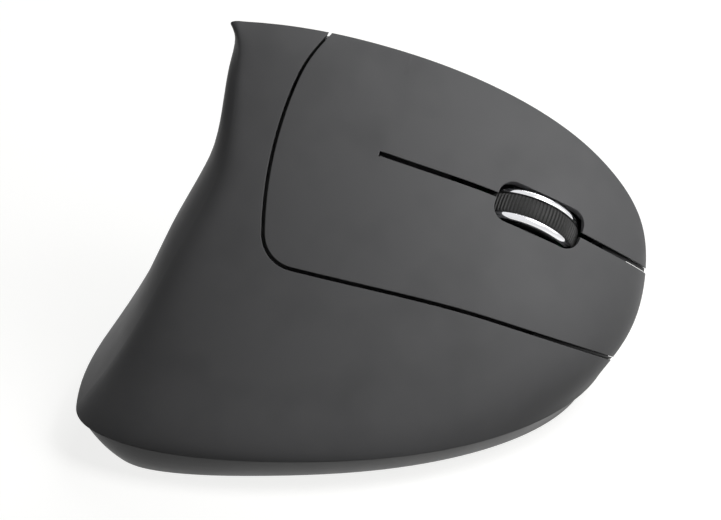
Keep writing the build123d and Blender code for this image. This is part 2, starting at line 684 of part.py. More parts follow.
# ---- power switch: body under the main board, and the slider that a fingertip moves ----
SLIDER_Y = SWITCH_AT[1] - SWITCH_TRAVEL / 2
SWITCH_BOTTOM = FLOOR_TOP + 0.1
with BuildPart() as power_switch:
    with Locations((SWITCH_AT[0], SWITCH_AT[1], (SWITCH_BOTTOM + BOARD_Z) / 2)):
        Box(STEM[0] + 2.8, STEM[1] + SWITCH_TRAVEL + 4.6, BOARD_Z - SWITCH_BOTTOM)
    with Locations((SWITCH_AT[0], SWITCH_AT[1], SWITCH_BOTTOM + 0.8)):
        Box(STEM[0] + 0.4, STEM[1] + SWITCH_TRAVEL + 0.4, 1.8, mode=Mode.SUBTRACT)
power_switch.part.label = "power_switch"
export_step(power_switch.part, "parts/power_switch.step")

with BuildPart() as power_slider:
    with BuildSketch(Plane.XY.offset(KNOB_Z)):
        with Locations((SWITCH_AT[0], SLIDER_Y)):
            RectangleRounded(KNOB[0], KNOB[1], 0.6)
    extrude(amount=KNOB[2])
    with Locations((SWITCH_AT[0], SLIDER_Y, KNOB_Z + KNOB[2] + STEM[2] / 2 - 0.1)):
        Box(STEM[0], STEM[1], STEM[2] + 0.2)
    for step in (-1.1, 0, 1.1):
        with Locations((SWITCH_AT[0], SLIDER_Y + step, KNOB_Z)):
            Box(KNOB[0] - 1.0, 0.4, 0.5, mode=Mode.SUBTRACT)
power_slider.part.label = "power_slider"
export_step(power_slider.part, "parts/power_slider.step")

# ---- receiver stowed in its well ----
with BuildPart() as receiver_cap:
    with BuildSketch(Plane.XY.offset(CAP_Z)):
        with Locations(WELL):
            RectangleRounded(CAP[0], CAP[1], 1.0)
    extrude(amount=CAP_TOP - CAP_Z)
    # tongue inside the metal shell of the plug
    with Locations((WELL[0] - 0.6, WELL[1], (CAP_TOP + PLUG_TOP) / 2 - 0.5)):
        Box(1.6, PLUG[1] - 1.4, PLUG_TOP - CAP_TOP)
    # finger groove
    with Locations((WELL[0], WELL[1], CAP_Z)):
        Box(1.4, 8.0, 0.8, mode=Mode.SUBTRACT)
receiver_cap.part.label = "receiver_cap"
export_step(receiver_cap.part, "parts/receiver_cap.step")

with BuildPart() as receiver_plug:
    with Locations((WELL[0], WELL[1], (CAP_TOP + PLUG_TOP) / 2)):
        Box(PLUG[0], PLUG[1], PLUG_TOP - CAP_TOP)
        Box(PLUG[0] - 2 * PLUG_WALL, PLUG[1] - 2 * PLUG_WALL, PLUG_TOP - CAP_TOP, mode=Mode.SUBTRACT)
receiver_plug.part.label = "receiver_plug"
export_step(receiver_plug.part, "parts/receiver_plug.step")

# ---- main board and what it carries ----
with BuildPart() as main_board:
    with BuildSketch(Plane.XY.offset(BOARD_Z)):
        with Locations((0.2, 29.4)):
            Rectangle(29.0, 24.0)
        with Locations(*CASE_SCREWS):
            Circle(4.0, mode=Mode.SUBTRACT)
        with Locations(*MAIN_POSTS):
            Circle(BOARD_SCREW_R + 0.2, mode=Mode.SUBTRACT)
        with Locations(SENSOR):
            RectangleRounded(9.0, 7.0, 1.0, mode=Mode.SUBTRACT)
        # slanting front corners, clear of the base's rounded wall
        with BuildLine():
            Polyline((20, 26), (20, 45), (4, 45), (20, 26))
        make_face(mode=Mode.SUBTRACT)
        with BuildLine():
            Polyline((-20, 24), (-20, 45), (-3, 45), (-20, 24))
        make_face(mode=Mode.SUBTRACT)
    extrude(amount=MAIN_T)
main_board.part.label = "main_board"
export_step(main_board.part, "parts/main_board.step")

BOARD_FACE = BOARD_Z + MAIN_T
with BuildPart() as sensor_lens:
    with BuildSketch(Plane.XY.offset(FLOOR_TOP)):
        with Locations(SENSOR):
            RectangleRounded(15.0, 11.0, 1.5)
    extrude(amount=BOARD_Z - FLOOR_TOP)
    with Locations((SENSOR[0], SENSOR[1], BOARD_Z + 0.5)):
        Cylinder(2.4, 1.0)
    with Locations((SENSOR[0], SENSOR[1], FLOOR_TOP - 0.5)):
        Cylinder(2.2, 1.0)
sensor_lens.part.label = "sensor_lens"
export_step(sensor_lens.part, "parts/sensor_lens.step")

with BuildPart() as optical_sensor:
    with Locations((SENSOR[0], SENSOR[1], BOARD_FACE + 1.7)):
        Box(12.0, 9.6, 3.4)
    for x in (-5.0, -3.0, -1.0, 1.0, 3.0, 5.0):
        for side in (-5.1, 5.1):
            with Locations((SENSOR[0] + x, SENSOR[1] + side, BOARD_FACE + 0.9)):
                Box(0.5, 0.8, 1.8)
optical_sensor.part.label = "optical_sensor"
export_step(optical_sensor.part, "parts/optical_sensor.step")

with BuildPart() as sensor_led:
    with Locations((SENSOR[0], SENSOR[1] + 9.2, BOARD_FACE + 1.5)):
        Cylinder(1.5, 5.0, rotation=(90, 0, 0))
    with Locations((SENSOR[0], SENSOR[1] + 11.2, BOARD_FACE + 0.9)):
        Box(3.2, 1.0, 1.8)
sensor_led.part.label = "sensor_led"
export_step(sensor_led.part, "parts/sensor_led.step")

with BuildPart() as controller_chip:
    with Locations((8.0, 28.5, BOARD_FACE + 0.5)):
        Box(6.0, 6.0, 1.0)
controller_chip.part.label = "controller_chip"
export_step(controller_chip.part, "parts/controller_chip.step")

# ---- scroll wheel ----
with BuildPart() as wheel_tyre:
    with BuildSketch(axle_plane):
        Circle(WHEEL_R)
        Circle(HUB_R, mode=Mode.SUBTRACT)
    extrude(amount=TYRE_WIDTH / 2, both=True)
    chamfer(wheel_tyre.edges().group_by(Edge.length)[-1], length=0.25)
wheel_tyre.part.label = "wheel_tyre"
export_step(wheel_tyre.part, "parts/wheel_tyre.step")


def side_ring(side):
    """Bright ring against one side of the tyre, its outer corner bevelled."""
    middle = side * (TYRE_WIDTH / 2 + RING_GAP + RING_WIDTH / 2)
    with BuildPart() as ring:
        with BuildSketch(axle_plane.offset(middle)):
            Circle(WHEEL_R - RING_STEP)
            Circle(HUB_R, mode=Mode.SUBTRACT)
        extrude(amount=RING_WIDTH / 2, both=True)
        rims = ring.edges().group_by(Edge.length)[-1]
        outward = Axis(axle_plane.origin, axle_plane.z_dir * side)
        chamfer(rims.sort_by(outward)[-1], length=0.5)
    return ring.part


with BuildPart() as upper_ring:
    add(side_ring(1))
upper_ring.part.label = "upper_ring"
export_step(upper_ring.part, "parts/upper_ring.step")

with BuildPart() as lower_ring:
    add(side_ring(-1))
lower_ring.part.label = "lower_ring"
export_step(lower_ring.part, "parts/lower_ring.step")

HUB_HALF = TYRE_WIDTH / 2 + RING_GAP + RING_WIDTH
ARM_MIDDLE = HUB_HALF + ARM_GAP + ARM_T / 2
with BuildPart() as wheel_hub:
    with BuildSketch(axle_plane):
        Circle(HUB_R)
    extrude(amount=HUB_HALF, both=True)
    for side in (1, -1):
        with BuildSketch(axle_plane.offset(side * HUB_HALF)):
            Circle(HUB_R - 1.1)
            Circle(3.6, mode=Mode.SUBTRACT)
        extrude(amount=-1.6 * side, mode=Mode.SUBTRACT)
    with BuildSketch(axle_plane):
        Circle(AXLE_R)
    extrude(amount=ARM_MIDDLE + ARM_T / 2 + 0.4, both=True)
wheel_hub.part.label = "wheel_hub"
export_step(wheel_hub.part, "parts/wheel_hub.step")

CRADLE_LOW = 1.55                                    # underside of the cradle's end, above the axle
with BuildPart() as wheel_cradle:
    for side in (1, -1):
        with BuildSketch(axle_plane.offset(side * ARM_MIDDLE)):
            with BuildLine():
                Polyline(
                    (-16.5, -CRADLE_LOW),
                    (-16.5, -2.8),
                    (-11, -2.8),
                    (-4, -2.5),
                    (4.2, -2.5),
                    (4.2, 2.6),
                    (-5, 2.6),
                    (-11, -0.4),
                    (-16.5, -CRADLE_LOW),
                )
            make_face()
            Circle(AXLE_R + AXLE_FIT, mode=Mode.SUBTRACT)
        extrude(amount=ARM_T / 2, both=True)
    with BuildSketch(wheel_plane.offset(WHEEL_RISE - WHEEL_R + CRADLE_LOW)):
        with Locations((-15.0, 0)):
            Rectangle(3.0, 2 * ARM_MIDDLE + ARM_T)
    extrude(amount=2.8 - CRADLE_LOW)
wheel_cradle.part.label = "wheel_cradle"
export_step(wheel_cradle.part, "parts/wheel_cradle.step")

# ---- key board with its switches ----
with BuildPart() as key_board:
    with BuildSketch(wheel_plane.offset(BOARD_TOP - BOARD_T)):
        with BuildLine():
            Polyline(
                (-22.5, -14),
                (16, -14),
                (16, 3),
                (9, 8),
                (-1, 12.8),
                (-17, 12.8),
                (-22.5, 9.5),
                (-22.5, -14),
            )
        make_face()
        RectangleRounded(2 * WHEEL_R + 1.6, 2 * HUB_HALF + 1.9, 3.0, mode=Mode.SUBTRACT)
        with Locations(*BOARD_POSTS):
            Circle(BOARD_SCREW_R + 0.2, mode=Mode.SUBTRACT)
    extrude(amount=BOARD_T)
key_board.part.label = "key_board"
export_step(key_board.part, "parts/key_board.step")


def micro_switch(spot):
    """Snap-action switch on the key board, its button under the rib of a key."""
    with BuildPart() as switch:
        with BuildSketch(wheel_plane.offset(BOARD_TOP)):
            with Locations((spot[0] - 3.6, spot[1])):
                Rectangle(12.8, 5.8)
        extrude(amount=MICRO_TOP)
        with BuildSketch(wheel_plane.offset(BOARD_TOP + MICRO_TOP)):
            with Locations(spot):
                Rectangle(2.6, 1.6)
        extrude(amount=0.6)
    return switch.part


with BuildPart() as left_switch:
    add(micro_switch(SWITCH_SPOTS[0]))
left_switch.part.label = "left_switch"
export_step(left_switch.part, "parts/left_switch.step")

with BuildPart() as right_switch:
    add(micro_switch(SWITCH_SPOTS[1]))
right_switch.part.label = "right_switch"
export_step(right_switch.part, "parts/right_switch.step")

with BuildPart() as middle_switch:
    with BuildSketch(wheel_plane.offset(BOARD_TOP)):
        with Locations((-15.6, 0)):
            Rectangle(5.2, 5.2)
    extrude(amount=3.3)
    with BuildSketch(wheel_plane.offset(BOARD_TOP + 3.3)):
        with Locations((-15.2, 0)):
            Circle(1.5)
    extrude(amount=0.9)
middle_switch.part.label = "middle_switch"
export_step(middle_switch.part, "parts/middle_switch.step")

with BuildPart() as wheel_encoder:
    with BuildSketch(wheel_plane.offset(BOARD_TOP)):
        with Locations((2.5, -8.9)):
            Rectangle(6.6, 4.2)
    extrude(amount=5.0)
wheel_encoder.part.label = "wheel_encoder"
export_step(wheel_encoder.part, "parts/wheel_encoder.step")

# ---- side buttons, their board and switches ----
with BuildPart() as side_skin:
    add(form(THUMB_SIDE, -SIDE_PROUD))
    add(form(THUMB_SIDE, SIDE_INNER), mode=Mode.SUBTRACT)
with BuildPart() as side_flange:
    add(form(THUMB_SIDE, THUMB_WALL + 0.4))
    add(form(THUMB_SIDE, SIDE_INNER), mode=Mode.SUBTRACT)


def side_button(place):
    """Button that stands a little proud of the thumb shell, with a retaining flange inside."""
    with BuildPart() as button:
        add(prism(thumb_plane, side_outline(place, 0), -6, 8))
        add(side_skin.part, mode=Mode.INTERSECT)
        with BuildPart(mode=Mode.PRIVATE) as rim:
            add(prism(thumb_plane, side_outline(place, 0.8), -6, 8))
            add(side_flange.part, mode=Mode.INTERSECT)
        add(rim.part)
    return button.part


def side_switch(place):
    """Low switch on the thumb board, behind one side button."""
    with BuildPart() as tact:
        with BuildSketch(thumb_plane.offset(THUMB_BOARD_Z)):
            with Locations((place[0], place[1])):
                Rectangle(4.8, 4.8)
        extrude(amount=1.6)
        with BuildSketch(thumb_plane.offset(THUMB_BOARD_Z + 1.6)):
            with Locations((place[0], place[1])):
                Circle(1.4)
        extrude(amount=0.6)
    return tact.part


with BuildPart() as back_button:
    add(side_button(SIDE_BUTTONS[0]))
back_button.part.label = "back_button"
export_step(back_button.part, "parts/back_button.step")

with BuildPart() as forward_button:
    add(side_button(SIDE_BUTTONS[1]))
forward_button.part.label = "forward_button"
export_step(forward_button.part, "parts/forward_button.step")

with BuildPart() as back_switch:
    add(side_switch(SIDE_BUTTONS[0]))
back_switch.part.label = "back_switch"
export_step(back_switch.part, "parts/back_switch.step")

with BuildPart() as forward_switch:
    add(side_switch(SIDE_BUTTONS[1]))
forward_switch.part.label = "forward_switch"
export_step(forward_switch.part, "parts/forward_switch.step")

with BuildPart() as thumb_board:
    with BuildSketch(thumb_plane.offset(THUMB_BOARD_Z - THUMB_BOARD_T)):
        with Locations((0, 0.1)):
            RectangleRounded(49.0, 7.2, 2.0)
        with Locations(*THUMB_POSTS):
            Circle(1.0, mode=Mode.SUBTRACT)
    extrude(amount=THUMB_BOARD_T)
thumb_board.part.label = "thumb_board"
export_step(thumb_board.part, "parts/thumb_board.step")

# ---- ribbon between the two boards ----
with BuildPart() as ribbon_cable:
    with BuildLine():
        run = Spline(
            (3.0, 38.0, BOARD_FACE),
            (3.2, 38.0, 16.0),
            (wheel_plane * Location((4.0, -9.5, BOARD_TOP - BOARD_T))).position,
            tangents=[(0, 0, 1), wheel_plane.z_dir],
        )
    with BuildSketch(Plane(origin=run @ 0, x_dir=(1, 0, 0), z_dir=(0, 0, 1))):
        Rectangle(7.0, 0.6)
    sweep()
ribbon_cable.part.label = "ribbon_cable"
export_step(ribbon_cable.part, "parts/ribbon_cable.step")

# ---- screws ----
with BuildPart() as case_screws:
    for x, y in CASE_SCREWS:
        with Locations((x, y, HEAD_Z - 0.8)):
            Cylinder(CASE_HEAD_R, 1.6)
        with Locations((x, y, HEAD_Z + 5.0)):
            Cylinder(CASE_SCREW_R, 10.0)
        with Locations((x, y, HEAD_Z - 1.6)):
            Box(2.6, 0.5, 1.0, mode=Mode.SUBTRACT)
            Box(0.5, 2.6, 1.0, mode=Mode.SUBTRACT)
case_screws.part.label = "case_screws"
export_step(case_screws.part, "parts/case_screws.step")


def board_screw(plane, places, head, shank, length):
    """Small screws whose heads lie on a board; the shanks run along the plane's normal."""
    with BuildPart() as screws:
        with BuildSketch(plane):
            with Locations(*places):
                Circle(head)
        extrude(amount=-1.1)
        with BuildSketch(plane):
            with Locations(*places):
                Circle(shank)
        extrude(amount=length)
    return screws.part


with BuildPart() as board_screws:
    down = Plane(origin=(0, 0, BOARD_FACE), x_dir=(1, 0, 0), z_dir=(0, 0, -1))
    add(board_screw(down, [(x, -y) for x, y in MAIN_POSTS], 1.8, BOARD_SCREW_R, 3.8))
    add(board_screw(wheel_plane.offset(BOARD_TOP - BOARD_T), BOARD_POSTS, 1.8, BOARD_SCREW_R, 5.0))
    thumb_shank = THUMB_BOARD_T + THUMB_PILOT - 0.1
    add(board_screw(thumb_plane.offset(THUMB_BOARD_Z - THUMB_BOARD_T), THUMB_POSTS, 1.6, 0.8, thumb_shank))
board_screws.part.label = "board_screws"
export_step(board_screws.part, "parts/board_screws.step")
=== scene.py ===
import json
import logging
import math
from dataclasses import dataclass
from enum import Enum
from typing import Sequence

import bmesh
import bpy
from mathutils import Matrix, Vector
from mathutils.bvhtree import BVHTree


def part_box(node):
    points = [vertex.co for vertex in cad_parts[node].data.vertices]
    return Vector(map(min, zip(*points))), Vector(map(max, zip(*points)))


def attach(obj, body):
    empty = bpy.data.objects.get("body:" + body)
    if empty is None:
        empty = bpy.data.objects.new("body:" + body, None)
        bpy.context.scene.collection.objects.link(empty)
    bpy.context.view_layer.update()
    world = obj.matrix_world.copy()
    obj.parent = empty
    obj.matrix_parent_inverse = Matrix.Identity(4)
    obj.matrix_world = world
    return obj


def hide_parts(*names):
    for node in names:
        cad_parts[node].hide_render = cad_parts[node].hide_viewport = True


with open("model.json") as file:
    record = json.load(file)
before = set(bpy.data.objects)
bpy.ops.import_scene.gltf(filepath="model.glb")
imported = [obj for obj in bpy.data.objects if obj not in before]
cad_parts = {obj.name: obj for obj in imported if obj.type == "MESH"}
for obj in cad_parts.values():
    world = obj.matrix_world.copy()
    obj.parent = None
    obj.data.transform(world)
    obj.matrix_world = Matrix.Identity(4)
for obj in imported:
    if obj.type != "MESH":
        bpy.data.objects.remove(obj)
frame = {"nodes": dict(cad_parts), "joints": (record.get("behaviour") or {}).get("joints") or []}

LOG = logging.getLogger("mouse")
MM = 0.001
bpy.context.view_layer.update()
FACE_LEAN = math.pi / 6          # angle of the key plane from upright
FACE_HEIGHT = 35.0               # height of the key plane's origin, in millimetres
RAY_START = 80.0                 # rays that look for the shell start this far out, in millimetres
BEVEL_SAMPLES = 8


class Hue(Enum):
    """Colours of the mouse's finishes, as sRGB hex."""

    CHARCOAL = "5c5c5d"
    CHARCOAL_DEEP = "525253"
    BASE = "454546"
    SIDE_BLACK = "262627"
    TYRE = "141414"
    TYRE_DUST = "2b2b2a"
    BRIGHT = "e6e6e9"
    INNER_BLACK = "1b1b1c"
    SLIDER = "86868a"
    STEEL = "b9b8b2"
    SCREW = "6f6f70"
    BOARD = "1c5a34"
    BOARD_DARK = "12401f"
    CLEAR = "e8ecef"
    LED_RED = "c2342b"
    CELL_BODY = "2f3f4f"
    CELL_BAND = "b87a42"
    RIBBON = "b9b6ab"
    GLIDE = "353536"
    FLOOR = "f2f2f1"
    FLOOR_BOUNCE = "3e3e3d"
    FLOOR_SHADE = "a2a2a1"
    # painted shade: the near-black of the strips that stand for the shade deep inside the gaps
    GAP_PAINTED_SHADE = "0c0c0d"

    def linear(self) -> tuple[float, float, float, float]:
        """Returns the colour as linear RGBA.

        Returns:
            The four channels that a shader socket takes.
        """
        channels = [int(self.value[k:k + 2], 16) / 255 for k in (0, 2, 4)]
        return tuple(c / 12.92 if c <= 0.04045 else ((c + 0.055) / 1.055) ** 2.4 for c in channels) + (1.0,)


class NodeSheet:
    """One procedural material, built on Object coordinates."""

    def __init__(self, name: str) -> None:
        """Makes an empty material with a Principled shader.

        Args:
            name: The finish's name.
        """
        self.material = bpy.data.materials.new(name)
        self.material.use_nodes = True
        self.tree = self.material.node_tree
        self.tree.nodes.clear()
        self.output = self.add("ShaderNodeOutputMaterial")
        self.shader = self.add("ShaderNodeBsdfPrincipled")
        self.place = self.add("ShaderNodeTexCoord").outputs["Object"]
        self.tree.links.new(self.shader.outputs["BSDF"], self.output.inputs["Surface"])

    def add(self, kind: str, **values: object) -> bpy.types.Node:
        """Adds a node and sets its inputs.

        Args:
            kind: The node's type.
            values: Input names, with underscores for spaces, and their values or sockets.

        Returns:
            The new node.
        """
        node = self.tree.nodes.new(kind)
        for key, value in values.items():
            self.feed(node, key.replace("_", " "), value)
        return node

    def feed(self, node: bpy.types.Node, name: str, value: object) -> None:
        """Sets one input, by value or by link.

        Args:
            node: The node to change.
            name: The input's name.
            value: A number, a colour or another node's socket.
        """
        if isinstance(value, bpy.types.NodeSocket):
            self.tree.links.new(value, node.inputs[name])
        else:
            node.inputs[name].default_value = value

    def noise(self, size_mm: float, detail: float = 3.0) -> bpy.types.NodeSocket:
        """Adds noise whose spots are about a given size.

        Args:
            size_mm: Size of the spots in millimetres.
            detail: Number of finer octaves.

        Returns:
            The noise's grey value.
        """
        scale = 1.0 / (size_mm * MM)
        node = self.add("ShaderNodeTexNoise", Vector=self.place, Scale=scale, Detail=detail)
        return node.outputs["Fac"]

    def blend(
        self, factor: bpy.types.NodeSocket, low: Hue, high: Hue, reach: tuple[float, float]
    ) -> bpy.types.NodeSocket:
        """Runs from one colour to another as a value rises.

        Args:
            factor: The value that chooses the colour.
            low: Colour below the reach.
            high: Colour above the reach.
            reach: The values between which the colour turns.

        Returns:
            The mixed colour.
        """
        ramp = self.add("ShaderNodeValToRGB", Fac=factor)
        for stop, place, hue in zip(ramp.color_ramp.elements, reach, (low, high)):
            stop.position = place
            stop.color = hue.linear()
        return ramp.outputs["Color"]

    def spread(self, factor: bpy.types.NodeSocket, low: float, high: float) -> bpy.types.NodeSocket:
        """Maps a grey value of 0 to 1 onto a range.

        Args:
            factor: The grey value.
            low: Result at 0.
            high: Result at 1.

        Returns:
            The mapped value.
        """
        node = self.add("ShaderNodeMapRange", Value=factor)
        node.inputs["To Min"].default_value = low
        node.inputs["To Max"].default_value = high
        return node.outputs["Result"]

    def relief(
        self,
        height: bpy.types.NodeSocket,
        depth_mm: float,
        strength: float,
        under: bpy.types.NodeSocket | None = None,
    ) -> bpy.types.NodeSocket:
        """Turns a grey value into fine relief.

        Args:
            height: The grey value.
            depth_mm: Height of the relief in millimetres.
            strength: Share of the relief that shows.
            under: Normal that the relief lies on, or None.

        Returns:
            The bumped normal.
        """
        node = self.add("ShaderNodeBump", Height=height, Strength=strength, Distance=depth_mm * MM)
        if under is not None:
            self.feed(node, "Normal", under)
        return node.outputs["Normal"]

    def eased(self, radius_mm: float) -> bpy.types.NodeSocket:
        """Rounds hard edges in the shading.

        Args:
            radius_mm: Radius of the rounding in millimetres.

        Returns:
            The rounded normal.
        """
        node = self.add("ShaderNodeBevel", Radius=radius_mm * MM)
        node.samples = BEVEL_SAMPLES
        return node.outputs["Normal"]


@dataclass(frozen=True)
class SoftTouch:
    """Rubberised coating of the shells and keys: matte, faintly mottled, with a very fine grain."""

    name: str
    low: Hue = Hue.CHARCOAL_DEEP
    high: Hue = Hue.CHARCOAL
    edge_mm: float = 0.3
    roughness: float = 0.52
    shine: float = 0.14
    cloud_mm: float = 14.0
    smudge_mm: float = 5.0
    grain_mm: float = 0.35
    grain_depth_mm: float = 0.012

    def make(self) -> bpy.types.Material:
        """Builds the material.

        Returns:
            The finished material.
        """
        sheet = NodeSheet(self.name)
        cloud = sheet.noise(self.cloud_mm, 2.0)
        grain = sheet.noise(self.grain_mm, 2.0)
        smudge = sheet.noise(self.smudge_mm, 4.0)
        rough = sheet.spread(smudge, self.roughness - 0.05, self.roughness + 0.07)
        sheet.feed(sheet.shader, "Base Color", sheet.blend(cloud, self.low, self.high, (0.1, 0.55)))
        sheet.feed(sheet.shader, "Roughness", rough)
        sheet.feed(sheet.shader, "Specular IOR Level", self.shine)
        under = sheet.eased(self.edge_mm) if self.edge_mm else None
        sheet.feed(sheet.shader, "Normal", sheet.relief(grain, self.grain_depth_mm, 0.35, under))
        return sheet.material


@dataclass(frozen=True)
class MouldedPlastic:
    """Spark-eroded moulded plastic with a fine, even grain."""

    name: str
    hue: Hue
    grain_mm: float = 0.2
    roughness: float = 0.45
    edge_mm: float = 0.2
    wear_mm: float = 9.0
    grain_depth_mm: float = 0.02

    def make(self) -> bpy.types.Material:
        """Builds the material.

        Returns:
            The finished material.
        """
        sheet = NodeSheet(self.name)
        grain = sheet.noise(self.grain_mm, 3.0)
        wear = sheet.noise(self.wear_mm, 3.0)
        tone = sheet.spread(wear, 0.9, 1.08)
        colour = sheet.add("ShaderNodeHueSaturation", Color=self.hue.linear(), Value=tone)
        rough = sheet.spread(wear, self.roughness - 0.06, self.roughness + 0.08)
        sheet.feed(sheet.shader, "Base Color", colour.outputs["Color"])
        sheet.feed(sheet.shader, "Roughness", rough)
        under = sheet.eased(self.edge_mm)
        sheet.feed(sheet.shader, "Normal", sheet.relief(grain, self.grain_depth_mm, 0.4, under))
        return sheet.material


@dataclass(frozen=True)
class RibbedRubber:
    """Black tyre rubber with a little dust on it."""

    name: str
    dust_mm: float = 1.6
    pore_mm: float = 0.12
    pore_depth_mm: float = 0.01

    def make(self) -> bpy.types.Material:
        """Builds the material.

        Returns:
            The finished material.
        """
        sheet = NodeSheet(self.name)
        dust = sheet.noise(self.dust_mm, 5.0)
        pores = sheet.noise(self.pore_mm, 2.0)
        sheet.feed(sheet.shader, "Base Color", sheet.blend(dust, Hue.TYRE, Hue.TYRE_DUST, (0.45, 0.9)))
        sheet.feed(sheet.shader, "Roughness", sheet.spread(dust, 0.5, 0.72))
        sheet.feed(sheet.shader, "Normal", sheet.relief(pores, self.pore_depth_mm, 0.5))
        return sheet.material


@dataclass(frozen=True)
class BrightMetal:
    """Polished or brushed metal with faint turning marks."""

    name: str
    hue: Hue = Hue.BRIGHT
    roughness: float = 0.07
    marks_mm: float = 0.25
    edge_mm: float = 0.0
    haze_mm: float = 3.0
    marks_depth_mm: float = 0.003

    def make(self) -> bpy.types.Material:
        """Builds the material.

        Returns:
            The finished material.
        """
        sheet = NodeSheet(self.name)
        marks = sheet.noise(self.marks_mm, 2.0)
        haze = sheet.noise(self.haze_mm, 3.0)
        rough = sheet.spread(haze, self.roughness, self.roughness + 0.08)
        sheet.feed(sheet.shader, "Base Color", self.hue.linear())
        sheet.feed(sheet.shader, "Metallic", 1.0)
        sheet.feed(sheet.shader, "Roughness", rough)
        under = sheet.eased(self.edge_mm) if self.edge_mm else None
        sheet.feed(sheet.shader, "Normal", sheet.relief(marks, self.marks_depth_mm, 0.25, under))
        return sheet.material


@dataclass(frozen=True)
class SolderMask:
    """Circuit board lacquer with darker runs of buried track."""

    name: str
    tracks_per_metre: float = 700.0
    track_depth_mm: float = 0.02

    def make(self) -> bpy.types.Material:
        """Builds the material.

        Returns:
            The finished material.
        """
        sheet = NodeSheet(self.name)
        cells = sheet.add("ShaderNodeTexVoronoi", Vector=sheet.place, Scale=self.tracks_per_metre)
        cells.distance = "MANHATTAN"
        edges = cells.outputs["Distance"]
        sheet.feed(sheet.shader, "Base Color", sheet.blend(edges, Hue.BOARD_DARK, Hue.BOARD, (0.3, 0.42)))
        sheet.feed(sheet.shader, "Roughness", 0.28)
        sheet.feed(sheet.shader, "Normal", sheet.relief(edges, self.track_depth_mm, 0.4))
        return sheet.material


@dataclass(frozen=True)
class ClearPlastic:
    """Clear moulded plastic of the lens and the lamp."""

    name: str
    hue: Hue = Hue.CLEAR
    index: float = 1.49
    flow_mm: float = 2.5
    flow_depth_mm: float = 0.01

    def make(self) -> bpy.types.Material:
        """Builds the material.

        Returns:
            The finished material.
        """
        sheet = NodeSheet(self.name)
        flow = sheet.noise(self.flow_mm, 2.0)
        sheet.feed(sheet.shader, "Base Color", self.hue.linear())
        sheet.feed(sheet.shader, "Transmission Weight", 0.85)
        sheet.feed(sheet.shader, "IOR", self.index)
        sheet.feed(sheet.shader, "Roughness", sheet.spread(flow, 0.04, 0.12))
        sheet.feed(sheet.shader, "Normal", sheet.relief(flow, self.flow_depth_mm, 0.2))
        return sheet.material


@dataclass(frozen=True)
class CellWrap:
    """Printed sleeve of a cell: a plain body and a coppery band at its button end."""

    name: str
    band_from_y: float
    towards: float
    band_edge: float = 0.4 * MM
    scuff_mm: float = 1.5

    def make(self) -> bpy.types.Material:
        """Builds the material.

        Returns:
            The finished material.
        """
        sheet = NodeSheet(self.name)
        split = sheet.add("ShaderNodeSeparateXYZ", Vector=sheet.place)
        along = sheet.add("ShaderNodeMapRange", Value=split.outputs["Y"])
        along.inputs["From Min"].default_value = self.band_from_y
        along.inputs["From Max"].default_value = self.band_from_y + self.towards * self.band_edge
        colour = sheet.blend(along.outputs["Result"], Hue.CELL_BODY, Hue.CELL_BAND, (0.45, 0.55))
        sheet.feed(sheet.shader, "Base Color", colour)
        sheet.feed(sheet.shader, "Metallic", 0.55)
        sheet.feed(sheet.shader, "Roughness", sheet.spread(sheet.noise(self.scuff_mm), 0.24, 0.4))
        return sheet.material


def dress(node: str, material: bpy.types.Material) -> None:
    """Gives a CAD node its finish.

    Args:
        node: The node's name.
        material: The finish.
    """
    mesh = frame["nodes"][node].data
    mesh.materials.clear()
    mesh.materials.append(material)
    LOG.info("%s takes %s", node, material.name)


def to_piece(
    name: str,
    build: bmesh.types.BMesh,
    material: bpy.types.Material,
    body: str,
    sharp: float = 40.0,
) -> bpy.types.Object:
    """Turns a finished bmesh into a piece that rides on a body.

    Args:
        name: The piece's name.
        build: The mesh in the row frame; it is freed here.
        material: The finish.
        body: The body that carries the piece.
        sharp: Angle above which an edge stays hard, in degrees.

    Returns:
        The new object.
    """
    bmesh.ops.recalc_face_normals(build, faces=build.faces)
    mesh = bpy.data.meshes.new(name)
    build.to_mesh(mesh)
    build.free()
    mesh.materials.append(material)
    mesh.shade_smooth()
    mesh.set_sharp_from_angle(angle=math.radians(sharp))
    piece = bpy.data.objects.new(name, mesh)
    bpy.context.scene.collection.objects.link(piece)
    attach(piece, body)
    LOG.info("%s: %d faces on %s", name, len(mesh.polygons), body)
    return piece


def key_point(u: float, w: float, depth: float) -> Vector:
    """Finds a place from the key plane's coordinates.

    Args:
        u: Millimetres forward.
        w: Millimetres up the sloping face.
        depth: Millimetres out of the face.

    Returns:
        The point in the row frame, in metres.
    """
    cos, sin = math.cos(FACE_LEAN), math.sin(FACE_LEAN)
    return Vector((depth * cos - w * sin, u, FACE_HEIGHT + depth * sin + w * cos)) * MM


def surface_of(nodes: Sequence[str]) -> BVHTree:
    """Joins some CAD nodes into one search tree.

    Args:
        nodes: The nodes' names.

    Returns:
        The tree that rays are cast against.
    """
    surface = bmesh.new()
    for node in nodes:
        surface.from_mesh(frame["nodes"][node].data)
    tree = BVHTree.FromBMesh(surface)
    surface.free()
    return tree


